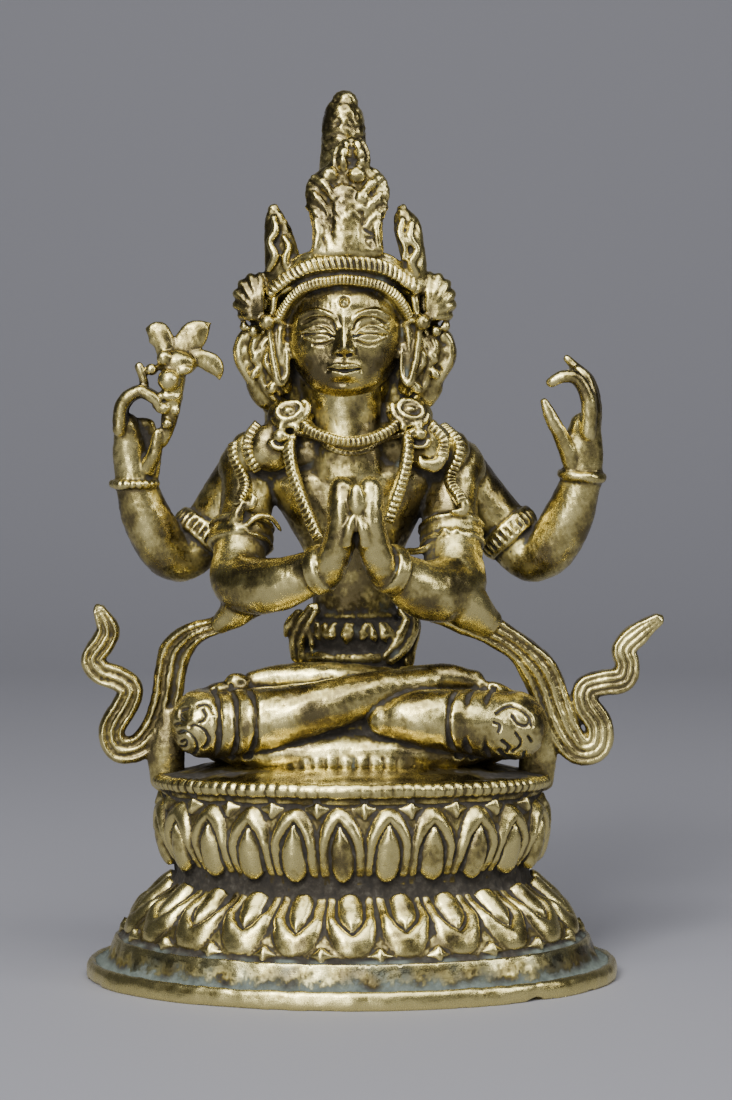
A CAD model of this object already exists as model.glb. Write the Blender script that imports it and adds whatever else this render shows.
import math

import bmesh
import bpy
import numpy as np
from mathutils import Matrix, Vector
from mathutils.bvhtree import BVHTree


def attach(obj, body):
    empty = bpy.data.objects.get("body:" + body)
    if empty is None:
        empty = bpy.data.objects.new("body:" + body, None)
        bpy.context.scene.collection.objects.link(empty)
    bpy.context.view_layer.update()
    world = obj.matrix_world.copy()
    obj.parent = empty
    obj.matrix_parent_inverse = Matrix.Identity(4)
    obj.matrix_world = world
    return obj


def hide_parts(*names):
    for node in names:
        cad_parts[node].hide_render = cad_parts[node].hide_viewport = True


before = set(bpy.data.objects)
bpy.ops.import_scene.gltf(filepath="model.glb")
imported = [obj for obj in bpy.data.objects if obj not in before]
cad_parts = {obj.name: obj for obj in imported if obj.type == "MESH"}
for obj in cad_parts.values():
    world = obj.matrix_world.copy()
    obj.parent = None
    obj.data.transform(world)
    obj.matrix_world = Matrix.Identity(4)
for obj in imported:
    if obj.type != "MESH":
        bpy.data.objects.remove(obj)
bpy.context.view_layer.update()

# Everything is drawn in millimetres on the statue's own axes: +X to the viewer's right, -Y to the front.
# The figure's heights are counted from the seat, and SEAT lifts them on to the base.
MM = 0.001
SEAT = 34.0
MIDDLE = -1.2  # the head leans this far to the viewer's left

# Triangles that are enough for a piece, so that the whole stays under a million
MOST_TRIANGLES = {
    "lotus_base": 165000,
    "torso_and_front_arms": 165000,
    "crossed_legs": 120000,
    "raised_arm_with_lotus": 80000,
    "raised_arm_open_hand": 65000,
    "head_and_crown": 178000,
}
MOST_TRIANGLES_ELSE = 60000


# Curves and simple forms


def unit(v):
    return v / np.maximum(np.linalg.norm(v, axis=-1, keepdims=True), 1e-9)


def smooth_path(points, steps):
    """A curve through the points, with so many places from one to the next."""
    p = np.asarray(points, float)
    if len(p) < 2 or steps < 2:
        return p
    q = np.concatenate([[2 * p[0] - p[1]], p, [2 * p[-1] - p[-2]]])
    t = np.linspace(0, 1, steps, endpoint=False)[:, None]
    rows = []
    for i in range(len(p) - 1):
        a, b, c, d = q[i : i + 4]
        square, cube = 2 * a - 5 * b + 4 * c - d, 3 * b - a - 3 * c + d
        rows.append(0.5 * (2 * b + (c - a) * t + square * t**2 + cube * t**3))
    return np.concatenate(rows + [p[-1:]])


def walked_along(path):
    """Distance walked along a path at each of its points."""
    return np.concatenate([[0], np.cumsum(np.linalg.norm(np.diff(path, axis=0), axis=1))])


def mirrored(points, side, middle=MIDDLE):
    """Points given by their distance from a middle line, placed on one side of it."""
    return [(middle + side * x, y, z) for x, y, z in points]


def skin(rings, closed_ends=True):
    rings = np.asarray(rings, float)
    count, sides = rings.shape[:2]
    j = np.arange(sides)
    k = (j + 1) % sides
    faces = []
    for i in range(count - 1):
        faces += np.stack(
            [i * sides + j, i * sides + k, (i + 1) * sides + k, (i + 1) * sides + j], 1,
        ).tolist()
    verts = rings.reshape(-1, 3)
    if closed_ends:
        first, last, top = len(verts), len(verts) + 1, (count - 1) * sides
        verts = np.vstack([verts, rings[0].mean(0), rings[-1].mean(0)])
        faces += np.stack([0 * j + first, k, j], 1).tolist()
        faces += np.stack([0 * j + last, top + j, top + k], 1).tolist()
    return verts, faces


def sweep(points, radii, front=(0, -1, 0), steps=8, sides=24):
    """A limb along a smooth path. A radius is one number, or half width and half thickness toward front."""
    radii = [(r, r) if np.isscalar(r) else r for r in radii]
    rows = smooth_path([(*p, *r) for p, r in zip(points, radii)], steps)
    path, size = rows[:, :3], rows[:, 3:]
    tangent = unit(np.gradient(path, axis=0))
    toward = np.broadcast_to(np.asarray(front, float), path.shape)
    toward = unit(toward - (toward * tangent).sum(1, keepdims=True) * tangent)
    across = np.cross(toward, tangent)
    angle = np.linspace(0, 2 * math.pi, sides, endpoint=False)
    cos, sin = np.cos(angle), np.sin(angle)

    def ring(i, share, ahead):
        spread = np.outer(cos, across[i]) * size[i, 0] + np.outer(sin, toward[i]) * size[i, 1]
        return path[i] + tangent[i] * ahead * size[i].min() + spread * share

    dome = [math.radians(a) for a in (80, 65, 45, 22)]
    rings = [ring(0, math.cos(a), -math.sin(a)) for a in dome]
    rings += [ring(i, 1, 0) for i in range(len(path))]
    rings += [ring(-1, math.cos(a), math.sin(a)) for a in reversed(dome)]
    return skin(rings)


def strand(points, radii, side=1, middle=MIDDLE, **settings):
    """A sweep given by its distance from the head's middle line."""
    return sweep(mirrored(points, side, middle), radii, **settings)


def arch(points):
    """A line over the brow, from its left half up to the middle."""
    half = mirrored(points, 1)
    return half + [(2 * MIDDLE - x, y, z) for x, y, z in half[-2::-1]]


def ball(centre, radii, turn=(0, 0, 0), rows=14, sides=24):
    radii = np.broadcast_to(np.asarray(radii, float), 3)
    down = np.linspace(0, math.pi, rows + 1)[1:-1, None]
    spin = np.linspace(0, 2 * math.pi, sides, endpoint=False)[None]
    points = np.stack(
        [np.sin(down) * np.cos(spin), np.sin(down) * np.sin(spin), -np.cos(down) + 0 * spin], -1,
    )
    turned = np.eye(3)
    for axis, degrees in zip("XYZ", turn):
        turned = np.array(Matrix.Rotation(math.radians(degrees), 3, axis)) @ turned
    return skin(points * radii @ turned.T + np.asarray(centre, float))


def bead(centre, radius):
    return ball(centre, radius, rows=7, sides=12)


def pleated(points, width, thickness, ridges=3, depth=0.5, front=(0, -1, 0), steps=10, sharp=0.7):
    """A band of cloth with pleats along it. A high sharp makes them thin ridges on flat ground."""
    widths = np.broadcast_to(np.asarray(width, float), len(points))
    rows = smooth_path([(*p, w) for p, w in zip(points, widths)], steps)
    path, half = rows[:, :3], rows[:, 3] / 2
    tangent = unit(np.gradient(path, axis=0))
    toward = np.broadcast_to(np.asarray(front, float), path.shape)
    toward = unit(toward - (toward * tangent).sum(1, keepdims=True) * tangent)
    across = np.cross(toward, tangent)
    u = np.linspace(-1, 1, 12 * ridges + 1)
    crest = np.abs(np.cos(math.pi * ridges * (u + 1) / 2 + math.pi / 2)) ** sharp
    face = (thickness / 2 + depth * (crest - 1)) * np.sqrt(np.maximum(1 - np.abs(u) ** 6, 0.02))
    outline = np.vstack(
        [np.stack([u, face], 1)[:-1], np.stack([-u, np.full(len(u), -thickness / 2)], 1)[:-1]]
    )
    rings = [
        path[i] + np.outer(outline[:, 0] * half[i], across[i]) + np.outer(outline[:, 1], toward[i])
        for i in range(len(path))
    ]
    first = [
        path[0] + (rings[0] - path[0]) * s - tangent[0] * half[0] * (1 - s) * 0.9 for s in (0.2, 0.6, 0.85)
    ]
    last = [
        path[-1] + (rings[-1] - path[-1]) * s + tangent[-1] * half[-1] * (1 - s) * 0.9
        for s in (0.85, 0.6, 0.2)
    ]
    return skin(first + rings + last)


def leaf(base, tip, width, thickness, front=(0, -1, 0), widest=0.4, bend=(0, 0, 0), steps=17):
    base, tip = np.asarray(base, float), np.asarray(tip, float)
    share = np.linspace(0, 1, steps)
    points = base + np.outer(share, tip - base) + np.outer(4 * share * (1 - share), bend)
    past = np.maximum(share - widest, 0) / (1 - widest)
    half = np.maximum(np.where(share < widest, 0.7 + 0.3 * share / widest, 1 - past**2.2), 0.1) * width / 2
    radii = [(h, min(h, thickness / 2) * (0.5 + 0.5 * h / (width / 2))) for h in half]
    return sweep(points, radii, front, steps=1, sides=20)


def hoop(centre, radii, wire, normal=(0, 0, 1), count=48, sides=12, part=1.0, start=0.0):
    """A round wire bent to an ellipse, or to a part of one."""
    normal = unit(np.asarray(normal, float))
    x = unit(np.cross((0, 1, 0), normal))
    y = np.cross(normal, x)
    turn = start + np.linspace(0, 2 * math.pi * part, count, endpoint=part < 1)
    wire = (wire, wire) if np.isscalar(wire) else wire
    out = np.outer(np.cos(turn) * radii[0], x) + np.outer(np.sin(turn) * radii[1], y)
    away = unit(out)
    phi = np.linspace(0, 2 * math.pi, sides, endpoint=False)
    rings = [
        np.asarray(centre, float)
        + out[i]
        + wire[0] * np.outer(np.cos(phi), away[i])
        + wire[1] * np.outer(np.sin(phi), normal)
        for i in range(count)
    ]
    if part < 1:
        return skin(rings)
    verts, faces = skin(rings + rings[:1], closed_ends=False)
    wrap = len(verts) - sides
    faces = [tuple(v - wrap if v >= wrap else v for v in face) for face in faces]
    return verts[:wrap], faces


# Casting, carving and smoothing


def mesh_of(name, forms):
    mesh = bpy.data.meshes.new(name)
    verts, faces, start = [], [], 0
    for points, sides in forms:
        verts.append(points)
        faces += [tuple(start + i for i in face) for face in sides]
        start += len(points)
    mesh.from_pydata((np.concatenate(verts) * MM).tolist(), [], faces)
    return mesh


def keep_outer_shell(mesh):
    shape = bmesh.new()
    shape.from_mesh(mesh)
    left = set(shape.verts)
    outer = set()
    while left:
        stack = [left.pop()]
        shell = set(stack)
        while stack:
            for edge in stack.pop().link_edges:
                for v in edge.verts:
                    if v in left:
                        left.discard(v)
                        shell.add(v)
                        stack.append(v)
        if len(shell) > len(outer):
            outer = shell
    inner = [v for v in shape.verts if v not in outer]
    if inner:
        bmesh.ops.delete(shape, geom=inner, context="VERTS")
        shape.to_mesh(mesh)
    shape.free()


def evaluated_mesh(obj):
    """The object's mesh with its modifiers applied, which are then taken off it."""
    graph = bpy.context.evaluated_depsgraph_get()
    graph.update()
    mesh = bpy.data.meshes.new_from_object(obj.evaluated_get(graph))
    obj.modifiers.clear()
    return mesh


def cast(name, forms, grain):
    """Fuses overlapping forms into one skin of about this grain, in millimetres."""
    obj = bpy.data.objects.new(name, mesh_of(name, forms))
    bpy.context.scene.collection.objects.link(obj)
    fuse = obj.modifiers.new("fuse", "REMESH")
    fuse.mode = "VOXEL"
    fuse.voxel_size = grain * MM
    obj.data = evaluated_mesh(obj)
    keep_outer_shell(obj.data)
    relax(obj.data, 2, 0.5)
    return obj


def thinned(obj, most):
    """Collapses the least needed edges until the piece has so many triangles at most."""
    triangles = len(obj.data.loops) - 2 * len(obj.data.polygons)
    if triangles <= most:
        return
    thin = obj.modifiers.new("thin", "DECIMATE")
    thin.ratio = most / triangles
    full = obj.data
    obj.data = evaluated_mesh(obj)
    bpy.data.meshes.remove(full)


def points_of(mesh):
    flat = np.empty(len(mesh.vertices) * 3)
    mesh.vertices.foreach_get("co", flat)
    return flat.reshape(-1, 3) / MM


def normals_of(mesh):
    flat = np.empty(len(mesh.vertices) * 3)
    mesh.vertex_normals.foreach_get("vector", flat)
    return flat.reshape(-1, 3)


def set_points(mesh, points):
    mesh.vertices.foreach_set("co", (points * MM).ravel())
    mesh.update()


def neighbours(mesh):
    flat = np.empty(len(mesh.edges) * 2, np.int64)
    mesh.edges.foreach_get("vertices", flat)
    ends = flat.reshape(-1, 2)
    both = np.concatenate([ends, ends[:, ::-1]])
    return both[:, 0], both[:, 1], np.bincount(both[:, 0], minlength=len(mesh.vertices))


def averaged(values, near):
    one, other, count = near
    columns = values.reshape(len(values), -1)
    mean = np.stack([np.bincount(one, columns[other, k], len(values)) for k in range(columns.shape[1])], 1)
    return (mean / np.maximum(count, 1)[:, None]).reshape(values.shape)


def relax(mesh, times, share):
    near = neighbours(mesh)
    points = points_of(mesh)
    for _ in range(times):
        points += (averaged(points, near) - points) * share
    set_points(mesh, points)


def smoothed_in(obj, low, high, times):
    """Smooths the skin between two corners of a box, with a soft border."""
    points = points_of(obj.data)
    near = neighbours(obj.data)
    low, high = np.asarray(low, float), np.asarray(high, float)
    inside = np.clip(np.minimum(points - low, high - points).min(1) / 1.0, 0, 1)[:, None]
    for _ in range(times):
        points += (averaged(points, near) - points) * 0.6 * inside
    set_points(obj.data, points)


def refined(obj, low, high):
    """Splits the faces of the skin between two corners of a box, for finer carving there."""
    low, high = Vector(low) * MM, Vector(high) * MM
    shape = bmesh.new()
    shape.from_mesh(obj.data)
    inside = {
        v for v in shape.verts if v.normal.y < 0.1 and all(low[i] < v.co[i] < high[i] for i in range(3))
    }
    edges = [e for e in shape.edges if e.verts[0] in inside and e.verts[1] in inside]
    bmesh.ops.subdivide_edges(shape, edges=edges, cuts=1, use_grid_fill=True, smooth=0.4)
    shape.to_mesh(obj.data)
    shape.free()


def carve(obj, strokes, from_front=False):
    """Raises or cuts the skin along strokes: points, half width, height. A negative height is a groove.

    Seen from the front, a stroke works on whatever skin lies behind its line."""
    points, normals = points_of(obj.data), normals_of(obj.data)
    push = np.zeros(len(points))
    seen = np.array((1, 0 if from_front else 1, 1))
    flat = points * seen
    for line, half, height, *facing in strokes:
        path = (smooth_path(line, 8) if len(line) > 1 else np.array(line, float)) * seen
        low, high = path.min(0) - half - 0.01, path.max(0) + half + 0.01
        near = np.flatnonzero(np.all((flat > low) & (flat < high), axis=1))
        if not len(near):
            continue
        p = flat[near]
        reach = np.linalg.norm(p - path[0], axis=1)
        for a, b in zip(path[:-1], path[1:]):
            ab = b - a
            t = np.clip(((p - a) @ ab) / max(ab @ ab, 1e-9), 0, 1)
            reach = np.minimum(reach, np.linalg.norm(p - a - t[:, None] * ab, axis=1))
        share = np.clip(reach / half, 0, 1)
        amount = height * (1 - share**2) ** 2
        front = np.asarray(facing[0] if facing else (0, -1, 0), float)
        amount *= np.clip(normals[near] @ front * 3 + (0 if from_front else 0.5), 0, 1)
        push[near] = np.where(np.abs(amount) > np.abs(push[near]), amount, push[near])
    set_points(obj.data, points + normals * push[:, None])
    cut = obj.data.attributes.get("cut") or obj.data.attributes.new("cut", "FLOAT", "POINT")
    depth = np.empty(len(points), np.float32)
    cut.data.foreach_get("value", depth)
    cut.data.foreach_set("value", depth + np.maximum(-push, 0).astype(np.float32))


def mould(obj, lumps, front=(0, -1, 0)):
    """Presses soft lumps out of the skin, and dents where a height is negative.

    Each lump has its place, half width, half height and height."""
    points, normals = points_of(obj.data), normals_of(obj.data)
    push = np.zeros(len(points))
    front = np.asarray(front, float)
    facing = np.clip(normals @ front * 2, 0, 1)
    for place, wide, tall, height in lumps:
        off = points - np.asarray(place, float)
        near = np.exp(-((off[:, 0] / wide) ** 2) - (off[:, 2] / tall) ** 2) * (np.abs(off[:, 1]) < 9)
        push += height * near * facing
    set_points(obj.data, points + push[:, None] * front)


def waves(points, size, seed, count=14):
    """Smooth unevenness between about -1 and 1, with bumps of about this size in millimetres."""
    dice = np.random.default_rng(seed)
    ways = unit(dice.normal(size=(count, 3))) * dice.uniform(0.7, 1.5, (count, 1)) * 2 * math.pi / size
    phase = dice.uniform(0, 2 * math.pi, count)
    return np.sin(points @ ways.T + phase).sum(1) / math.sqrt(count / 2) / 1.6


def hand_worked(obj, amount=0.07):
    """The unevenness that wax modelling and filing leave, rougher with height on the crown."""
    points, normals = points_of(obj.data), normals_of(obj.data)
    push = waves(points, 5.5, 1) * amount + waves(points, 2.1, 2) * amount * 0.45
    push += waves(points, 0.9, 3) * amount * 0.25
    high = np.clip((points[:, 2] - 123) / 6, 0, 1)
    push += high * (waves(points * (1.2, 1.2, 0.5), 2.4, 7) * 0.07 + waves(points, 1.1, 8) * 0.05)
    set_points(obj.data, points + normals * push[:, None])


def ribbed(skin_tree, line, half_width, rise, pitch, around, depth=0.55, slant=0.0):
    """A strap with ribs milled across it, laid on a casting's skin, on the side away from an upright axis."""
    path = smooth_path(line, 24)
    out = unit((path - (*around, 0)) * (1, 1, 0))
    for i in range(len(path)):
        place = skin_tree.ray_cast(Vector((path[i] + out[i] * 3) * MM), Vector(-out[i]), 7 * MM)[0]
        if place:
            path[i] = np.array(place) / MM
    for _ in range(60):
        path[1:-1] = 0.5 * path[1:-1] + 0.25 * (path[:-2] + path[2:])
    walked = walked_along(path)
    at = np.linspace(0, walked[-1], max(int(walked[-1] / pitch * 7), 8))
    path = np.stack([np.interp(at, walked, path[:, k]) for k in range(3)], 1)
    tangent = unit(np.gradient(path, axis=0))
    out = unit((path - (*around, 0)) * (1, 1, 0))
    out = unit(out - (out * tangent).sum(1, keepdims=True) * tangent)
    across = np.cross(out, tangent)
    u = np.linspace(-1, 1, 11)
    wave = np.abs(np.sin(math.pi * (at[:, None] + slant * half_width * u) / pitch)) ** 0.6
    ends = np.clip(np.minimum(at, at[-1] - at) / 0.8, 0.15, 1) ** 0.5
    face = rise * np.sqrt(np.maximum(1 - np.abs(u) ** 4, 0.03)) * (1 - depth * (1 - wave)) * ends[:, None]
    sideways = across[:, None] * (u * half_width)[None, :, None]
    front = path[:, None] + sideways + out[:, None] * face[:, :, None]
    back = path[:, None] - sideways - out[:, None] * 0.8
    return skin(np.concatenate([front, back], axis=1)[::-1])


def fitted(name, casting, make_straps):
    """Straps laid on the finished skin of a casting."""
    tree = BVHTree.FromObject(casting, bpy.context.evaluated_depsgraph_get())
    obj = bpy.data.objects.new(name, mesh_of(name, make_straps(tree)))
    bpy.context.scene.collection.objects.link(obj)
    return obj


# The lotus base

FOOT_HALF = 45.4
DEPTH_SHARE = 66.0 / 90.8
PETALS_LOWER = 22
PETALS_UPPER = 23
BOSS_HALF = 2.12
RELIEF = 1.8
RIM_HALF = 34.1
RIM_LOW = 32.2
RIM_TOP = 34.7
RIM_BEADS = 104
WAIST_HALF = 31.5
WAIST_HEIGHT = 18.4
SEAT_SLOPE = 0.05  # the seat rises this much towards the front
COLUMNS = 600
# Spacing of the rings along the profile
SEAT_STEP = 1.4
FOOT_STEP = 0.42
PETAL_STEP = 0.3


def base_profile():
    """Half width and height, from the foot's underside to the middle of the seat."""
    lower, upper = 40.5, 34.2
    rows = [
        (FOOT_HALF - 0.6, 0), (FOOT_HALF - 0.08, 0.4), (FOOT_HALF, 1.3), (FOOT_HALF - 0.2, 2.3),
        (FOOT_HALF - 0.7, 3.0), (FOOT_HALF - 1.3, 3.0), (FOOT_HALF - 1.9, 2.4), (FOOT_HALF - 2.7, 2.5),
        (FOOT_HALF - 3.6, 3.7), (lower + 0.6, 5.4), (lower + 0.05, 6.9),
    ]
    for place, share in ((0.99, 0.97), (0.87, 0.93), (0.7, 0.8), (0.47, 0.57), (0.24, 0.25), (0.07, 0.04)):
        rows.append((WAIST_HALF + share * (lower - WAIST_HALF), WAIST_HEIGHT - place * 11.0))
    rows.append((WAIST_HALF - 0.3, WAIST_HEIGHT))
    for place, share in ((0.1, 0.33), (0.26, 0.7), (0.5, 0.97), (0.7, 1), (0.86, 0.85), (0.985, 0.6)):
        rows.append((WAIST_HALF + share * (upper - WAIST_HALF), WAIST_HEIGHT + place * 13.8))
    rows += [
        (RIM_HALF - 1.3, RIM_LOW + 0.05), (RIM_HALF - 0.5, RIM_LOW + 0.3), (RIM_HALF, RIM_LOW + 1.25),
        (RIM_HALF - 0.6, RIM_TOP - 0.3), (RIM_HALF - 1.6, RIM_TOP - 0.1), (RIM_HALF - 3.2, RIM_TOP + 0.1),
        (RIM_HALF * 0.8, RIM_TOP + 0.9), (RIM_HALF * 0.6, RIM_TOP + 2.1), (RIM_HALF * 0.2, RIM_TOP + 2.9),
    ]
    return np.array(rows, float)


def petal_height(x, y, half, boss_end, lip_end, boss_half):
    """Height of one petal's carving, from 0 to about 1, x mm off its middle line and y mm from the waist."""
    middle = 0.5 * boss_end
    t = np.where(y > middle, (y - middle) / (boss_end - middle), (middle - y) / middle)
    t = np.clip(t, 0, 1)
    oval = np.where(y > middle, (1 - t**2.3), np.sqrt(np.clip(1 - t**3.5, 0, 1)))
    width = boss_half * np.clip(oval, 0, 1) + 1e-6
    boss = np.sqrt(np.clip(1 - (x / width) ** 2, 0, 1)) * (0.5 + 0.55 * np.clip(oval, 0, 1))
    keel = 0.14 * np.exp(-((x / 0.5) ** 2)) * np.clip(t * 2 - 0.7, 0, 1) * (y > middle)
    boss = np.where(np.abs(x) < width, boss + keel, 0) * np.clip(y / 0.8, 0, 1)

    rise = np.maximum(y - middle, 0)
    inner = np.abs(x) / (boss_half + 0.1) + (rise / (boss_end - middle + 0.15)) ** 2.3
    outer = np.hypot(x / half, rise / (lip_end - middle))
    past, short = (inner - 1) * boss_half, (1 - outer) * half
    share = np.clip(past / np.maximum(past + short, 1e-6), 0, 1) * (past > 0) * (short > 0)
    roll = np.clip(4 * share * (1 - share), 0, 1) ** 0.5
    fade = np.clip((y - 0.2 * boss_end) / (0.5 * boss_end), 0, 1)
    ground = 0.22 * np.clip((y - 1.5) / 4, 0, 1)
    return np.maximum(np.maximum(boss, roll * (0.22 + 0.7 * fade)), ground)


def tip_between(x, y, half, from_, to):
    """The small pointed leaf that shows between two petals."""
    across = np.abs(half - np.abs(x))
    up = (y - from_) / (to - from_)
    size = 2.1 * np.clip(np.minimum(up * 1.6, (1 - up) * 3.0), 0, 1) ** 0.85
    inside = (across < size) & (up > 0) & (up < 1)
    return np.where(inside, 0.3 + 0.55 * (1 - across / np.maximum(size, 1e-6)), 0)


def base_rings():
    """Half width, height and place along the profile of each ring, closest together on the petals."""
    fine = smooth_path(base_profile(), 40)
    walked = walked_along(fine)
    on_seat = (fine[:, 1] > 30) & (fine[:, 0] < RIM_HALF - 2.6)
    on_foot = (fine[:, 1] < 6.8) & (fine[:, 0] > 40)
    step = np.where(on_seat, SEAT_STEP, np.where(on_foot, FOOT_STEP, PETAL_STEP))
    rate = np.concatenate([[0], np.cumsum(np.diff(walked) / step[1:])])
    at = np.interp(np.linspace(0, rate[-1], int(rate[-1])), rate, walked)
    return np.interp(at, walked, fine[:, 0]), np.interp(at, walked, fine[:, 1]), at


def petal_relief(turn, half, height, at, perimeter):
    """How far the two rows of petals lie below their crests, for each ring and column."""
    push = np.zeros((len(half), len(turn)))
    for low, high, petals, shift, boss_end, lip_end, tip_from in (
        (7.2, WAIST_HEIGHT, PETALS_LOWER, 0.0, 8.6, 14.1, 11.4),
        (WAIST_HEIGHT, RIM_LOW, PETALS_UPPER, 0.215, 10.4, 13.9, 11.6),
    ):
        upper = petals == PETALS_UPPER
        rows_on = np.flatnonzero(
            (height >= low) & (height <= high) & (half > WAIST_HALF - 0.35) & (half < 40.7)
        )
        way = at[rows_on] - at[rows_on[0]]
        if not upper:
            way = way[-1] - way
        length = way.max()
        place = turn * petals + 0.5 + shift
        petal = np.floor(place).astype(int) % petals
        dice = np.random.default_rng(5 if upper else 9)
        spans = ((0.94, 1.05), (0.93, 1.07), (0.92, 1.03))
        longer, wider, deeper = (dice.uniform(*span, petals)[petal] for span in spans)
        sway, tilt = (dice.uniform(-most, most, petals)[petal] for most in (0.3, 0.05))
        u = (place % 1) * 2 - 1
        for i, y in zip(rows_on, way):
            petal_half = perimeter[i] / petals / 2
            x = u * petal_half + sway * math.sin(math.pi * min(y / boss_end, 1)) + tilt * (y - 5)
            carved = petal_height(x, y, petal_half, boss_end * longer, lip_end, BOSS_HALF * wider) * deeper
            carved = np.maximum(carved, tip_between(u * petal_half, y, petal_half, tip_from, length))
            push[i] = RELIEF * (np.minimum(carved, 1.12) - 1)
        ends = np.clip(np.minimum(way + 0.1, length - way) / 0.5, 0, 1)
        push[rows_on] *= ends[:, None] * 0.4 + 0.6
    return push


def rim_relief(turn, around, half, height):
    """The gaps between the rim's beads, worn away in front, and the dents in the foot's lip."""
    rim = (height > RIM_LOW) & (half > RIM_HALF - 1.5)
    rise = np.clip((height - RIM_LOW) / (RIM_TOP - RIM_LOW), 0, 1)
    from_front = (turn * RIM_BEADS + RIM_BEADS / 2) % RIM_BEADS - RIM_BEADS / 2
    worn = 1 - 0.8 * np.exp(-((from_front / 8) ** 2))
    gaps = np.abs(np.sin(turn * math.pi * RIM_BEADS + 0.4)) ** 0.5 - 1
    round_rim = np.where(rim, np.sin(rise * math.pi) ** 0.4, 0)
    lip = np.clip(1 - height / 3.4, 0, 1) * (half > FOOT_HALF - 3)
    notch = 0.5 * np.exp(-(((around - 0.75) / 0.03) ** 2))
    dents = 0.22 * np.sin(around * 5 + 1) * np.sin(around * 11) - notch
    return round_rim[:, None] * gaps[None] * 0.6 * worn[None] + lip[:, None] * np.minimum(dents, 0.12)[None]


def lotus_base():
    """The oval base, turned round its profile, with the rows of petals and the rim carved out of it."""
    half, height, at = base_rings()
    dense = np.linspace(0, 2 * math.pi, 6001)
    stride = np.hypot(np.diff(np.sin(dense)), DEPTH_SHARE * np.diff(np.cos(dense)))
    gone = np.concatenate([[0], np.cumsum(stride)])
    turn = np.arange(COLUMNS) / COLUMNS
    around = np.interp(turn * gone[-1], gone, dense)
    tangent = unit(np.gradient(np.stack([half, height], 1), axis=0))
    outward = np.stack([tangent[:, 1], -tangent[:, 0]], 1)
    push = petal_relief(turn, half, height, at, gone[-1] * half) + rim_relief(turn, around, half, height)

    out = half[:, None] + push * outward[:, :1]
    high = height[:, None] + push * outward[:, 1:]
    y = -out * np.cos(around)[None] * DEPTH_SHARE
    raised = np.clip(high - WAIST_HEIGHT, 0, None) / (RIM_TOP - WAIST_HEIGHT)
    z = np.maximum(high - SEAT_SLOPE * np.minimum(raised, 1) * y, 0)
    mesh = mesh_of("lotus_base", [skin(np.stack([out * np.sin(around)[None], y, z], 2))])
    obj = bpy.data.objects.new("lotus_base", mesh)
    bpy.context.scene.collection.objects.link(obj)
    return obj


# The figure


def torso():
    spine = [
        (0.2, 5, 12), (0.2, 4.5, 20), (0.4, 3.5, 27), (0.3, 2.5, 36), (0.2, 2, 43), (0, 2, 51),
        (-0.2, 1.5, 55),
    ]
    radii = [(12.4, 10), (9.6, 8.5), (7.2, 6.4), (7.8, 7), (10.8, 7.8), (15.2, 7.8), (10, 6.5)]
    neck = [(-0.3, 0.5, 52), (-0.6, 0, 57), (-0.8, -0.3, 61), (-0.9, -0.5, 66)]
    yoke = [(-17.5, 3.5, 52.5), (-10, 2.5, 55.2), (0, 2, 55.6), (10, 2.5, 55.2), (17.5, 3.5, 52.5)]
    return [
        sweep(spine, radii, sides=40),
        sweep(neck, [(9, 7), (6.8, 6.3), (6.0, 5.8), (6, 6)], sides=32),
        sweep(yoke, [5.4, 6.3, 6.4, 6.3, 5.4]),
        ball((-9.5, 3, 61), (5.5, 4, 4.5)),
        ball((7.5, 3, 61), (5.5, 4, 4.5)),
    ]


def waist_sash():
    """A rolled sash with a fringe of curling leaves over it, and its ends folded at the hips."""
    forms = [
        hoop((0.3, 4.8, 20.6), (9.3, 7.9), (1.4, 1.2)),
        hoop((0.3, 3.8, 27.6), (7.2, 6.3), (0.7, 0.8)),
        hoop((0.3, 3.9, 24.2), (8.2, 7.3), (0.6, 2.4)),
    ]
    dice = np.random.default_rng(3)
    for i in range(15):
        swing = math.radians(-160 + 10 * i + dice.uniform(-3, 3))
        x, y = 0.3 + 9.0 * math.cos(swing), 3.9 + 8.0 * math.sin(swing)
        tip, lean = dice.uniform(21.4, 24.4), dice.uniform(-1.8, 1.8)
        line = [(x - lean * 0.3, y + 0.3, 26.2), (x + lean * 0.3, y - 0.4, 24.6), (x + lean, y - 0.2, tip)]
        radii = [(0.5, 0.5), (dice.uniform(0.8, 1.15), 0.6), (0.3, 0.3)]
        forms.append(sweep(line, radii, steps=5, sides=12))
    for line, widths, thickness, depth, front in (
        ([(6.0, -2.6, 20.4), (8.6, -2.0, 23.2), (9.9, -0.8, 26.6), (8.4, 0.4, 28.6)],
         (3.0, 4.0, 3.4, 2), 1.8, 0.5, (0.4, -1, 0)),
        ([(9.6, 0, 19.2), (10.0, 0, 22.4), (10.6, 0.4, 25.6), (10.2, 0.8, 27.8)],
         (2.2, 2.4, 2.6, 1.6), 1.6, 0.4, (0.6, -1, 0)),
        ([(-6.4, -1.6, 29.0), (-8.2, -0.8, 26), (-9.2, 0, 23.2), (-9.0, 0.6, 20)],
         (2.6, 3.2, 3.4, 3), 1.8, 0.4, (-0.5, -1, 0)),
    ):
        forms.append(pleated(line, widths, thickness, 2, depth, front))
    end = [(-8.6, 0.2, 27.4), (-10.6, 0.2, 25.8), (-11.3, 0.6, 24.2)]
    return forms + [sweep(end, [(1.5, 1), (1.1, 0.8), (0.5, 0.5)])]


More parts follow.
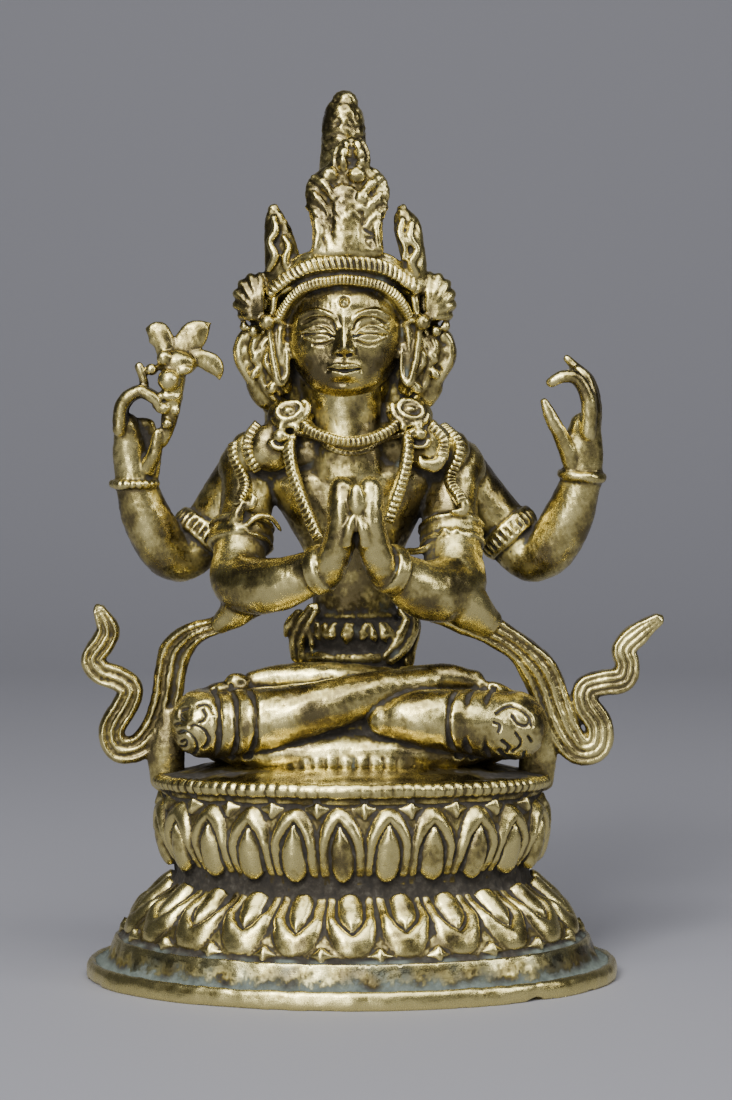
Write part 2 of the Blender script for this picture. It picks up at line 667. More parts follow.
def legs():
    lap = [
        ball((-14, 3, 9.2), (14.5, 11.5, 8.2), (0, -6, 12)),
        ball((15, 3, 8.8), (14.5, 11.5, 8), (0, 6, -12)),
        ball((0.5, 5, 8.6), (16, 13, 10)),
        ball((0.5, -4, 9.6), (13, 9, 7.8)),
        ball((0.5, -8, 5.4), (24, 7.5, 4.6)),
    ]
    over = sweep(
        [
            (-23, -9.6, 9.9), (-15.6, -12, 11), (-8, -13.2, 12.7), (-0.5, -13, 14.6), (6, -11.6, 16.4),
            (13, -9, 17.3),
        ],
        [(5.6, 5.8), (5.4, 5.5), (4.6, 4.9), (3.9, 4.2), (3.0, 3.2), (2.3, 2.5)],
        sides=40,
    )
    under = sweep(
        [(26, -9.8, 9.7), (18.5, -12.4, 10.8), (11, -14.0, 11.6), (5.6, -13.8, 11.4)],
        [(5.7, 5.9), (5.4, 5.4), (4.6, 4.5), (3.0, 3.2)],
        sides=40,
    )
    knees = [ball((-24.6, -9.2, 10.2), (5.9, 6.6, 5.9)), ball((27.0, -9.2, 9.8), (5.9, 6.6, 5.9))]
    soles = [
        sweep(
            [(6, -7.6, 17.4), (-3, -7.9, 18.0), (-11, -7.4, 17.6), (-16.4, -7.0, 17.0)],
            [(2.0, 2.4), (2.3, 2.5), (2.4, 2.4), (1.9, 1.9)],
        ),
        ball((-19.2, -8.6, 16.9), (2.1, 1.6, 1.7)),
        ball((-18.2, -9.6, 15.7), (1.3, 1.0, 0.9)),
        ball((-22.4, -7.6, 15.6), (3.0, 2.2, 1.3), (0, -16, 0)),
        sweep([(9, -8.6, 17.6), (15.5, -8.2, 17.7), (20.4, -7.6, 17.2)], [(2.1, 2.2), (2.4, 2.3), (1.9, 2)]),
        ball((21.6, -8.6, 16.6), (1.2, 1.1, 1.2)),
        ball((24.8, -8.6, 15.5), (2.8, 1.9, 1.3), (0, 24, 0)),
        ball((26.6, -9.4, 14.4), (1.3, 1.0, 0.8), (0, 30, 0)),
    ]
    return lap + [over, under] + knees + soles


def hem_fan():
    """The skirt's hem spread in a low scalloped fan on the seat."""
    forms = [ball((0.4, -11.6, 3.6), (11.2, 3.6, 3.5))]
    for i in range(12):
        swing = math.radians(-74 + 13.4 * i)
        x, y = 0.4 + 10.4 * math.sin(swing), -12.4 - 2.5 * math.cos(swing)
        root = (0.4 + 5.4 * math.sin(swing), -12.2 - 1.4 * math.cos(swing), 6.5)
        fold = [root, (x, y - 0.2, 4.7), (x * 1.02, y - 0.2, 3.0)]
        forms.append(sweep(fold, [(0.75, 0.5), (1.2, 0.7), (1.0, 0.6)], steps=5, sides=16))
    return forms


def joined_hands():
    """Palms held together, with the jewel between them showing as a long oval, and the brooch above."""
    middle = 0.75
    forms = []
    for side in (-1, 1):
        palm = [
            (4.7, -18.8, 36.4), (3.3, -20.5, 39.4), (2.5, -21.4, 43.0), (2.35, -21.7, 47.0),
            (2.3, -21.6, 50.0),
        ]
        radii = [(2.9, 3), (2.75, 3.5), (2.5, 3.7), (2.35, 3.5), (2.1, 2.6)]
        thumb = [(1.5, -24.4, 41.2), (1.1, -25, 43.4), (0.5, -25.0, 45.4)]
        forms.append(strand(palm, radii, side, middle, steps=10, sides=32))
        forms.append(strand(thumb, [0.85, 0.85, 0.5], side, middle))
    forms.append(ball((middle + 0.15, -24.9, 48.2), (1.35, 0.95, 2.7), rows=24, sides=30))
    bow = [
        (-2.4, -11.8, 52.0), (-1.9, -12.2, 54.2), (-0.8, -12.2, 55.2), (0.2, -12.0, 54.2),
        (0.6, -11.6, 52.2),
    ]
    forms.append(sweep(bow, [0.5, 0.5, 0.55, 0.5, 0.5], sides=14))
    forms.append(ball((-0.8, -10.6, 53), (1.6, 1.8, 2)))
    return forms


def front_arm(side):
    """Upper arm, forearm, the sleeve's tail that runs into the scarf, bracelet and armlet."""
    if side < 0:
        points = [
            (-17.2, 3, 52), (-18, 0.5, 45.5), (-18.9, -4, 38.5), (-18.4, -8.5, 33.8), (-12.4, -14, 33.8),
            (-5, -18.2, 36.6),
        ]
        radii = [(5, 5.4), (4.5, 5), (4.5, 4.9), (4.9, 4.8), (4.5, 4.4), (3.3, 3.2)]
        tail = [(-17.4, -8.6, 32.2), (-19.6, -7.4, 28.8), (-22.4, -5.8, 26.4)]
        tail_radii = [(4.4, 3.8), (2.9, 2.4), (1.6, 1.4)]
    else:
        points = [
            (17, 3, 52), (16.6, 0.5, 45.5), (17, -4, 38.5), (16.8, -8.5, 33.2), (11.8, -14, 33),
            (6.5, -18.2, 36.6),
        ]
        radii = [(5.2, 5.6), (4.8, 5.2), (4.9, 5.1), (5.5, 5.1), (4.9, 4.6), (3.4, 3.2)]
        tail = [(15.6, -9.4, 33.2), (19.2, -8.6, 30), (23, -6.8, 26.8)]
        tail_radii = [(5, 4.8), (4.1, 3.8), (2.6, 2.2)]
    wrist = np.array(points[-1])
    toward = unit(wrist - (13.4 * side, -13, 34))
    forms = [
        sweep(points, radii, steps=14, sides=44),
        sweep(tail, tail_radii, sides=30),
        hoop(wrist + toward * 0.2, (3.75, 3.7), (0.45, 1.15), normal=toward),
        hoop(wrist - toward * 0.8, (3.8, 3.75), (0.5, 0.35), normal=toward),
    ]
    band = np.array((points[2][0] - 0.1 * side, -1.9, 41.0))
    lean = unit(np.array((0.06 * side, -0.5, -1.0)))
    for shift, size, wire in ((0, 4.95, (0.5, 1.4)), (-1.7, 4.9, (0.85, 0.55)), (1.5, 5.0, (0.7, 0.45))):
        forms.append(hoop(band + lean * shift, (size, size + 0.2), wire, normal=lean))
    return forms


def armlet_knots():
    """The loose knot on the armlet at the viewer's left, and the squiggled clasp on the other."""
    knot = [(-18.4, -6.6, 42.2), (-16.4, -7.2, 44.4), (-13.8, -6.4, 44.6), (-12.0, -4.8, 42.4)]
    end = [(-20.2, -6, 42), (-19.2, -7, 44.6), (-18.2, -6.8, 47.2)]
    clasp = [
        (14.6, -7.2, 41.2), (15.6, -7.7, 42.6), (16.6, -7.5, 41.2), (17.6, -7.5, 42.4), (18.6, -6.8, 40.8),
    ]
    return [
        sweep(knot, [0.5, 0.6, 0.55, 0.4]),
        sweep(end, [(0.9, 0.6), (1.1, 0.6), (0.5, 0.4)]),
        ball((-18.8, -7, 42.4), (1.6, 1, 1.2)),
        sweep(clasp, [0.5] * 5),
        sweep([(15.2, -7.5, 39.4), (16.6, -7.9, 40.0), (18.0, -7.5, 39.2)], [0.5] * 3),
        ball((16.6, -6.9, 40.6), (2.5, 1, 1.9)),
        ball((20.4, -5.6, 38.4), (1.7, 1.6, 2.0)),
        sweep([(9.4, -3.5, 38.6), (11.8, -6, 39.0), (14.6, -7, 40.2)], [0.6, 0.7, 0.5]),
    ]


def collar():
    """Cast with the body: the necklace's loop, the roundels with their drops, and the hooked strap ends."""
    loop = [(-8.2, -3.8, 61.0), (-5.4, -6.8, 58.5), (-0.3, -8.2, 57.2), (4.6, -7.0, 58.4), (8.0, -3.8, 61.4)]
    forms = [
        sweep(loop, [(0.9, 0.9)] * 5, sides=16),
        hoop((6.0, -8.5, 55.9), (1.35, 1.35), 0.45, normal=(0.25, -1, 0.2)),
        ball((6.0, -8.0, 55.9), (1.3, 0.7, 1.3)),
        bead((6.0, -8.8, 55.9), 0.45),
    ]
    for x, z, side in ((-10.5, 62.5, -1), (9.9, 62.7, 1)):
        ring, drop = (x - 0.2 * side, -4.7, z - 0.3), (x + 1.4 * side, -6.1, z - 5.2)
        bow = math.pi * 0.95
        forms += [
            ball((x + 0.2 * side, -2.6, z - 1.2), (3.6, 2.6, 3.2)),
            hoop((x, -5.3, z), (2.1, 1.5), 0.5, normal=(0.15 * side, -1, 0.45)),
            ball((x, -5.2, z), (1.1, 0.8, 0.7)),
            ball((x, -4.4, z), (2.1, 1.0, 1.5)),
            hoop(ring, (3.2, 2.4), 0.45, normal=(0.2 * side, -1, 0.5), part=0.62, start=bow),
            ball((x + 1.2 * side, -5.6, z - 2.6), (1.0, 0.8, 0.9)),
            ball((x + 1.5 * side, -6.1, z - 4.2), (1.25, 1.0, 1.1)),
            hoop(drop, (1.6, 1.2), 0.42, normal=(0, -1, 0.3), part=0.55, start=bow),
            bead((x - 1.3 * side, -5.9, z - 3.0), 0.75),
            bead((x - 0.6 * side, -6.2, z - 4.6), 0.8),
            bead((x + 3.7 * side, -4.4, z - 3.6), 0.7),
            bead((x - 2.2 * side, -5.4, z - 1.4), 0.65),
            ball((x + 3.0 * side, -3.2, z - 6.2), (4.2, 2.8, 4.2), (0, 24 * side, 0)),
            ball((x + 6.6 * side, -1.2, z - 7.4), (3.4, 3.0, 4.0), (0, 24 * side, 0)),
        ]
    for hook, bend, turn in (
        ([(-16.6, -6, 52.6), (-14.8, -6.6, 52.0), (-13.6, -6.8, 53.4), (-14.4, -6.6, 54.6)], 1.15, 0.8),
        ([(-19.2, -5.4, 47.6), (-17.6, -6.2, 46.4), (-16.4, -6.6, 47.4), (-16.8, -6.4, 48.6)], 1.1, 0.8),
        ([(15.4, -5.6, 54.8), (13.9, -6.4, 53.3), (11.9, -6.8, 53.6), (11.4, -6.6, 54.8)], 1.15, 0.9),
        ([(17.8, -5.8, 48.4), (18.9, -6.0, 46.8), (18.4, -6.2, 45.4), (16.9, -6.6, 45.6)], 1.1, 0.8),
    ):
        forms.append(sweep(hook, [(0.9, 0.7), (bend, 0.8), (turn, 0.6), (0.35, 0.4)]))
    return forms


def raised_arm(side):
    """The arm from the shoulder to the wrist, its milled armlet and its bracelet."""
    out = 1.0 if side < 0 else 1.055
    points = [(18.6 * side, 7, 51)] + [
        (x * side * out, y, z) for x, y, z in (
            (24.0, 8.5, 43.2), (28.6, 7.6, 37.6), (32.2, 5.5, 38.8), (35.2, 3.6, 44.5), (37.0, 2.2, 50.2),
        )
    ]
    radii = [(5, 5.4), (4.6, 4.8), (4.5, 4.5), (4.5, 4.4), (4.2, 4.1), (3.4, 3.3)]
    way = unit(np.array(points[2]) - np.array(points[1]))
    place = np.array(points[1]) + way * 1.4
    forms = [sweep(points, radii, steps=12, sides=32)]
    for shift, size, wire in ((0, 4.9, (0.6, 0.55)), (1.3, 4.75, (0.5, 1.0)), (2.6, 4.75, (0.6, 0.5))):
        forms.append(hoop(place + way * shift, (size, size), wire, normal=way))
    side_way = unit(np.cross(way, (0, 1, 0)))
    other = np.cross(way, side_way)
    for i in range(26):
        a = 2 * math.pi * i / 26
        spot = place + way * 1.3 + (side_way * math.cos(a) + other * math.sin(a)) * 5.3
        forms.append(sweep([spot - way * 0.8, spot, spot + way * 0.8], [0.3, 0.42, 0.3], steps=3, sides=8))
    wrist = np.array((37.1 * side * out, 2.1, 49.9 if side < 0 else 51.3))
    lean = unit(np.array((0.1 * side, -0.05, 1)))
    for i in range(20 if side < 0 else 0):
        a = 2 * math.pi * i / 20
        spot = wrist + (math.cos(a) * 3.75, math.sin(a) * 3.6, 0)
        forms.append(ball(spot, (0.66, 0.66, 0.78), rows=8, sides=12))
    forms.append(hoop(wrist, (3.6, 3.45), (0.7, 0.85) if side > 0 else (0.5, 0.5), normal=lean))
    return forms


def lotus_hand():
    """The hand that holds the lotus, its fingers curled over to the thumb."""
    forms = [
        sweep([(-37, 2, 50), (-37.7, 1.6, 55), (-38.2, 0.8, 60)], [(3.3, 3), (3.0, 2.6), (2.0, 2.4)]),
        sweep([(-36, 2.2, 51), (-35.6, 2.6, 56), (-35.8, 2, 60)], [(3, 2), (3.2, 1.2), (2.4, 1.2)]),
        sweep(
            [(-34.9, 0.6, 52.6), (-33.4, -1.0, 55), (-32.8, -1.6, 58.6)],
            [(1.6, 1.4), (1.3, 1.2), (0.9, 0.9)],
        ),
    ]
    for i in range(4):
        y = 2.8 - 1.7 * i
        finger = [
            (-39.3, y, 59.2), (-38.8, y - 0.4, 63.4), (-36.2, y - 0.8, 65.6), (-33.4, y - 0.8, 64.6),
            (-32.4, y - 0.6, 62.8),
        ]
        forms.append(sweep(finger, [1.15, 1.15, 1.1, 1.0, 0.75], steps=10, sides=18))
    return forms


def held_flower():
    """The lotus in the raised hand: stalk, buds, and three petals."""
    stalk = [(-32, -1, 57), (-31, -1.4, 60), (-30.4, -1.8, 64), (-30, -1.6, 68)]
    sprig = [(-35, -1, 66.8), (-35.4, -1.2, 68.4), (-36, -1.2, 69.9)]
    forms = [sweep(stalk, [(0.9, 0.9), (1.3, 1.1), (1.7, 1.4), (2, 1.6)])]
    forms += [
        ball(place, radii) for place, radii in (
            ((-30.9, -2.8, 67.6), (1.98, 1.9, 1.95)),
            ((-29.6, -1.2, 70.4), (3.4, 2.2, 2.3)),
            ((-31.6, -2.5, 71.2), (1.35, 1.2, 1.4)),
            ((-28.3, -2.5, 69.3), (1.6, 1.1, 0.95)),
            ((-33.8, -1.8, 69.3), (1.1, 1.1, 1.0)),
        )
    ]
    forms += [
        sweep(sprig, [(0.8, 0.7), (0.7, 0.6), (0.75, 0.7)]),
        leaf((-31.4, -0.8, 71.6), (-35.0, -0.4, 76.2), 4.4, 2, bend=(0.7, 0, 1.1), widest=0.55),
        leaf((-29.6, -0.6, 71.4), (-23.8, -0.2, 77.2), 5.0, 2, bend=(-0.4, 0, 0.5), widest=0.5),
        leaf((-27.4, -0.8, 71.4), (-22.4, -0.4, 67.6), 3.6, 1.9, bend=(1.0, 0, 1.0), widest=0.5),
        hoop((-31.0, -1.4, 64.8), (2.0, 1.9), (0.55, 0.6), normal=(0.15, 0, 1)),
        bead((-31.6, -2.9, 62.8), 1.0),
        bead((-29.7, -2.6, 62.4), 0.85),
        bead((-31.2, -2.7, 60.2), 0.95),
        bead((-33, -2.4, 63.4), 0.8),
    ]
    return forms


def open_hand():
    """The open hand: palm, thumb, the bent first finger and three straighter ones."""
    thumb = [(37.4, 0.2, 53.5), (35.2, -1.2, 58.4), (33.6, -1.8, 61.4), (32.5, -2, 63.9)]
    first = [(40, -1.0, 58.5), (40, -1.6, 64), (38.2, -2.1, 67.6), (35.8, -2.3, 68.2), (33.6, -2.3, 67.2)]
    forms = [
        sweep([(39.4, 2, 50.5), (39.3, 1.2, 55.6), (39.6, 0.6, 60)], [(3.3, 3), (3.5, 2.5), (2.7, 2.2)]),
        sweep(thumb, [(1.7, 1.4), (1.35, 1.2), (1.15, 1.0), (0.7, 0.7)]),
        sweep(first, [1.35, 1.35, 1.2, 1.1, 0.85], steps=10),
    ]
    for i, (x, top, lean) in enumerate(((40.7, 69.4, 2.4), (41, 71.2, 4.4), (40.8, 69.8, 3.2))):
        y = 0.5 + 1.5 * i
        finger = [(x, y, 58.6), (x + 0.2, y, 63.4), (x - 0.9, y + 0.2, 67.6), (x - lean, y + 0.3, top)]
        forms.append(sweep(finger, [1.35, 1.3, 1.1, 0.65], steps=10, sides=18))
    return forms


def scarf(side):
    if side < 0:
        line = [
            (-16.4, -9, 31.5), (-19.4, -7, 28.6), (-23.0, -5, 26.2), (-27.0, -4, 24.6), (-29.8, -3, 21.8),
            (-30.8, -2.6, 18), (-31.4, -2.4, 13.6), (-33, -2.2, 9), (-36, -2, 5.4), (-39.6, -2, 5.0),
            (-40.8, -2, 8.2), (-38.6, -2, 12.2), (-37.6, -2, 15.2), (-39.8, -2, 17), (-42.6, -2, 18),
            (-44, -2, 20.4), (-42.2, -2, 23), (-41.4, -2, 25.4), (-43, -2, 29.0),
        ]
        width = [
            7.5, 5.0, 3.2, 4.2, 5.6, 5.6, 5.4, 5.2, 4.8, 4.8, 4.6, 4.6, 4.4, 4.4, 4.4, 4.2, 4.2, 4.0, 2.2,
        ]
        band = pleated(line, width, 2.2, 3, 0.55, steps=12, sharp=2.2)
    else:
        line = [
            (14.6, -9.6, 31.4), (19, -7.6, 28.4), (23.6, -5.6, 25.4), (27.8, -4.4, 22.6), (31.0, -3.2, 19.4),
            (32.9, -2.6, 16), (34.2, -2.4, 12), (36.0, -2.2, 8), (38.6, -2, 4.8), (41.6, -2, 5.4),
            (42, -2, 9), (39.8, -2, 12.6), (39.8, -2, 15.2), (42.6, -2, 16.2), (46, -2, 16.8),
            (46.8, -2, 19.4), (46.2, -2, 22), (48.4, -2, 24.4), (52.2, -2, 27.2),
        ]
        width = [9, 7, 5.2, 4.8, 6.2, 6.6, 6.4, 6.0, 5.2, 5.0, 4.8, 4.6, 4.4, 4.4, 4.4, 4.2, 4.2, 4.0, 2.2]
        band = pleated(line, width, 2.4, 4, 0.8, steps=12, sharp=0.55)
    root = [(31 * side, -2, 11), (31.6 * side, -2, 5), (31.4 * side, -1, -0.6)]
    return [band, sweep(root, [(2.2, 1.6), (3.2, 1.8), (3, 2)])]


def head():
    """Skull, jaw, neck and the hair behind. The features are pressed out of it afterwards."""
    rows = (
        (0, 0.2, 76.8, (10.1, 10.2, 11.4), 0, 30, 44),
        (0, -1.9, 75.0, (9.7, 8.2, 10.6), 0, 30, 44),
        (0, -2.6, 78.6, (8.8, 7.2, 7.0), 0, 30, 44),
        (0, -3.6, 70.2, (7.4, 6.2, 5.9), 0, 26, 40),
        (0, 3.5, 72, (10.4, 8, 13), 0, 14, 24),
        (0, 4, 63.5, (11.5, 4.8, 7.5), 0, 14, 24),
        (-9.5, 2.4, 68, (5.0, 3.4, 8.4), 12, 14, 24),
        (9.5, 2.4, 68, (5.0, 3.4, 8.4), -12, 14, 24),
    )
    return [ball((MIDDLE + x, y, z), radii, (0, lean, 0), *grid) for x, y, z, radii, lean, *grid in rows]


def crown_leaf():
    """The tall leaf at the front, with its niche, its buds and the scrolls down its edges."""
    outline = [
        (89, 6.1, -8.2), (92.9, 5.9, -7.4), (95.8, 6.6, -6.9), (98.6, 7.1, -6.5), (100.9, 6.7, -6.0),
        (102.4, 5.2, -5.6), (103.6, 3.2, -5.2),
    ]
    line = [(0, y, z) for z, _, y in outline]
    forms = [strand(line, [(w, 1.6) for _, w, _ in outline], 1, MIDDLE + 0.5, front=(0, -1, 0.2), sides=40)]
    for points, radii, sides in (
        ([(1.2, -5.2, 101.6), (1.2, -5.6, 104.6), (1.2, -5.4, 106.4)],
         [(3.0, 1.9), (2.8, 1.8), (1.9, 1.5)], 28),
        ([(-0.2, -7.0, 102.8), (-0.3, -7.3, 104.8), (0.3, -6.9, 106.9)], [0.8, 0.95, 0.6], 24),
        ([(2.6, -7.0, 103.0), (2.7, -7.3, 105.0), (2.2, -6.9, 106.9)], [0.8, 0.95, 0.6], 24),
        ([(-1.5, -6.6, 102.6), (-1.6, -6.7, 105.0), (-0.6, -6.2, 107.0), (1.2, -6.0, 107.7),
          (3.0, -6.2, 107.0),
          (3.9, -6.6, 105.0), (3.8, -6.6, 102.8)], [0.55] * 7, 14),
    ):
        forms.append(strand(points, radii, sides=sides))
    for x, y, z, radii in (
        (-2.5, -7.4, 101.7, (1.4, 1.1, 1.35)), (2.1, -7.6, 101.7, (1.5, 1.2, 1.45)),
        (2.9, -8.0, 97.9, (1.35, 1.1, 1.3)),
    ):
        forms.append(ball((MIDDLE + x, y, z), radii))
    stem = [(0.2, -7.9, 99.4), (0.2, -8.6, 94.4), (0.3, -9.2, 89.0)]
    forms.append(strand(stem, [(2.0, 0.8), (2.3, 0.8), (2.8, 0.8)]))
    forms.append(strand([(1.2, -8.3, 97.0), (3.6, -8.3, 96.0), (5.6, -7.9, 97.2)], [0.6, 0.75, 0.5]))
    for side in (-1, 1):
        for x, z, drop in ((5.6, 101.4, 3.6), (6.4, 99.2, 4.2), (6.5, 96.4, 3.4)):
            scroll = [(x, -6.6, z), (x - 1.9, -7.9, z - drop * 0.42), (x - 3.4, -8.5, z - drop)]
            forms.append(strand(scroll, [(0.6, 0.6), (0.8, 0.8), (0.45, 0.5)], side, MIDDLE + 0.5, sides=12))
        foot = [(5.2, -7.6, 94.8), (4.8, -8.5, 92.4), (5.2, -8.8, 89.6)]
        forms.append(strand(foot, [(0.7, 0.7), (0.8, 0.7), (0.6, 0.6)], side, MIDDLE + 0.5))
    return forms


def crown():
    """Hair over the brow, three arches, the coil of hair, the front leaf and the two side leaves."""
    forms = [
        ball((MIDDLE, 0.5, 83.4), (10.2, 9.2, 6.4)),
        ball((MIDDLE, 2.5, 87.5), (7.0, 6.4, 4)),
        ball((MIDDLE, -1.4, 84.0), (10.0, 7.6, 4.4)),
    ]
    for line, radii, sides in (
        ([(-10.2, -1.0, 75.6), (-9.8, -3.9, 78.8), (-8.2, -6.4, 81.5), (-5.4, -8.2, 83.3), (-2.4, -8.9, 84.0),
          (0, -9.0, 84.2)], (0.9, 0.8), 16),
        ([(-11.2, 0.4, 79.6), (-10.6, -2.8, 82.7), (-8.7, -5.6, 85.0), (-5.6, -7.6, 86.5), (-2.5, -8.4, 87.0),
          (0, -8.5, 87.1)], (1.7, 0.6), 16),
        ([(-11.6, 0.6, 82.0), (-10.6, -2.8, 85.4), (-8.2, -5.6, 87.7), (-5, -7.6, 88.8), (-2.3, -8.3, 89.2),
          (0, -8.5, 89.3)], (0.5, 0.85), 14),
    ):
        forms.append(sweep(arch(line), [radii] * 11, sides=sides))
    coil = [(0, 2, 86), (0, 1.4, 95), (-0.1, 0.6, 104), (-0.2, 0.2, 109), (-0.1, 0, 112.6), (0.1, 0, 114.2)]
    forms.append(strand(coil, [(6, 6), (5, 5), (4.1, 4), (3.75, 3.6), (3.2, 3.1), (2.2, 2.2)], sides=36))
    forms += crown_leaf()
    left = [(10.1, -3.6, 83.2), (10.4, -3.6, 87), (11.0, -3.2, 91), (11.7, -2.8, 94.5), (12.0, -2.4, 96.3)]
    left_radii = [(3.4, 1.7), (3.2, 1.7), (2.7, 1.6), (1.9, 1.3), (1.0, 0.9)]
    right = [
        (11.6, -3.6, 83.2), (11.6, -3.6, 87), (11.2, -3.2, 90), (10.6, -2.9, 93), (9.9, -2.6, 95.2),
        (9.7, -2.4, 96.3),
    ]
    right_radii = [(2.6, 1.6), (2.2, 1.6), (2.3, 1.6), (2.5, 1.5), (1.8, 1.2), (0.9, 0.9)]
    forms.append(strand(left, left_radii, -1, front=(-0.35, -1, 0.1), sides=30))
    forms.append(strand(right, right_radii, 1, front=(0.35, -1, 0.1), sides=30))
    for side, points, radii in (
        (-1, [(12.7, -5.1, 86.0), (11.7, -5.7, 88.4), (12.5, -5.2, 90.6), (11.5, -5.2, 92.8),
              (11.9, -4.4, 94.8)],
         [0.5, 0.75, 0.65, 0.75, 0.5]),
        (-1, [(9.2, -5.4, 85.4), (9.9, -5.7, 87.8), (9.3, -5.4, 89.8), (10.2, -5.0, 91.6)],
         [0.5, 0.7, 0.55, 0.45]),
        (1, [(12.2, -5.0, 85.4), (11.2, -5.6, 87.4), (12.2, -5.2, 89.4), (11.0, -5.2, 91.4),
             (11.3, -4.6, 93.8)],
         [0.5, 0.75, 0.65, 0.75, 0.5]),
        (1, [(10.0, -5.4, 88.0), (10.1, -5.4, 90.0), (9.2, -5.0, 92.2), (9.6, -4.4, 94.4)],
         [0.5, 0.6, 0.65, 0.5]),
    ):
        forms.append(strand(points, radii, side))
    return forms


def ear_side(side):
    """The long ear and its ring, the shell-shaped rosette, and the locks and ribbon ends beside the neck."""
    def at(*place):
        return mirrored([place], side)[0]

    boss = np.array(at(13.0, -4.4, 77.3))
    ear = [(10.1, -2.2, 78), (10.8, -3.0, 75.5), (10.7, -3.2, 71), (10.1, -3.0, 67.4), (9.8, -2.6, 66)]
    ring = [
        (9.9, -3.6, 76.6), (11.5, -4.4, 77.6), (12.5, -4.4, 76.2), (12.3, -4.3, 73.4), (11.8, -4.4, 70.2),
        (10.9, -4.4, 67), (9.7, -4.2, 68.4), (9.6, -4.2, 71.2), (9.8, -4.0, 73.6),
    ]
    stem = [(11.4, -3.0, 84.4), (11.7, -3.6, 81.4), (12.2, -3.8, 78.6)]
    forms = [
        ball(at(12.0, 0.6, 71), (5.0, 2.7, 8.8), (0, -8 * side, 0)),
        strand(ear, [(0.9, 1.6), (1.2, 1.6), (0.9, 1.2), (1.1, 1.2), (0.9, 0.9)], side),
        strand(ring, [0.55, 0.6, 0.6, 0.55, 0.6, 0.7, 0.55, 0.5, 0.35], side, sides=14),
        ball(at(14.8, -0.6, 80.8), (3.2, 1.7, 3.9), (0, 12 * side, 0)),
        ball(boss, 1.45),
        bead(at(15.3, -2.9, 75.8), 1.0),
        bead(at(17.0, -2.2, 76.6), 0.9),
        strand(stem, [0.8, 0.85, 0.6], side),
    ]
    for i in range(6):
        swing = math.radians(-38 + 27 * i)
        outer = np.array(at(14.6 + 3.4 * math.cos(swing), -1.6, 80.9 + 4.0 * math.sin(swing)))
        inner = boss + (side * 0.9, 0.6, 0.8)
        ahead = outer * 0.55 + inner * 0.45
        ahead[1] = -4.0
        petal = [inner, ahead, outer + (0, -0.9, 0), outer + (side * 0.15, 0.8, 0)]
        forms.append(sweep(petal, [(0.45, 0.5), (0.72, 0.75), (0.86, 0.9), (0.7, 0.6)], steps=6, sides=16))
    for line, widths in (
        ([(14.0, -0.6, 76), (16.4, -0.9, 74.6), (17.0, -0.8, 71.8), (15.6, -0.4, 68.8), (13.2, 0.2, 65.8),
          (11.0, 0.8, 63.2)], (2.8, 3.6, 4.0, 3.8, 3.4, 2.6)),
        ([(12.8, -2.0, 75.6), (14.6, -2.2, 73.2), (13.6, -2.0, 70.2), (13.0, -1.4, 67.0), (10.8, -0.6, 64.0)],
         (2.6, 3.2, 3.2, 2.8, 2.2)),
        ([(12.2, -2.8, 73.0), (12.8, -3.0, 70.8), (11.4, -2.6, 68.4), (10.6, -1.8, 65.2)],
         (1.8, 2.2, 2.0, 1.6)),
    ):
        forms.append(pleated(mirrored(line, side), widths, 2.0, 2, 0.6, sharp=0.8))
    for k, (x, z, r) in enumerate((
        (16.6, 75.0, 1.2), (17.1, 72.6, 1.1), (16.7, 70.2, 1.1), (15.2, 67.6, 1.1), (13.2, 65.2, 1.0),
        (11.6, 63.4, 0.9),
    )):
        forms.append(ball(at(x, -0.9 + 0.2 * k, z), (r, 1.1, 1.35 * r), (0, -30 * side, 0)))
    for x, z, r in ((12.0, 66.4, 0.9), (14.8, 71.6, 0.9), (15.2, 68.6, 0.8), (12.4, 69.6, 0.7)):
        forms.append(ball(at(x, -2.6, z), (r, 0.8, 1.5 * r), (0, -35 * side, 0)))
    return forms


# What is carved into the castings and laid on them

# Grooves of the flower scrolls on the two knees
SCROLLS_LEFT = [
    [(-27.3, -15.4, 13.3), (-28.4, -15, 12.8), (-28.6, -14.8, 11.7), (-28.0, -15, 11.2)],
    [(-25.4, -15.6, 13.8), (-23.9, -15.8, 13.9), (-22.9, -15.8, 12.4)],
    [(-24.7, -15.7, 13.2), (-24.2, -15.8, 12.2), (-24.6, -15.8, 11.3), (-25.3, -15.8, 11.0)],
    [(-29.4, -14.2, 10.4), (-28.6, -15, 10.7)],
    [(-26.9, -15.6, 10.2), (-25.9, -15.7, 10.5), (-24.4, -15.8, 9.7), (-23.7, -15.8, 8.2),
     (-24.1, -15.6, 7.0), (-24.6, -15.4, 6.5)],
    [(-28.8, -14.8, 9.1), (-27.6, -15.4, 9.4), (-26.2, -15.6, 8.3), (-25.7, -15.4, 6.6), (-26.2, -15, 5.3),
     (-27.1, -14.4, 4.9)],
    [(-28.4, -14.8, 7.4), (-27.6, -15.2, 7.8), (-27.7, -15, 6.7), (-28.6, -14.6, 6.4)],
]
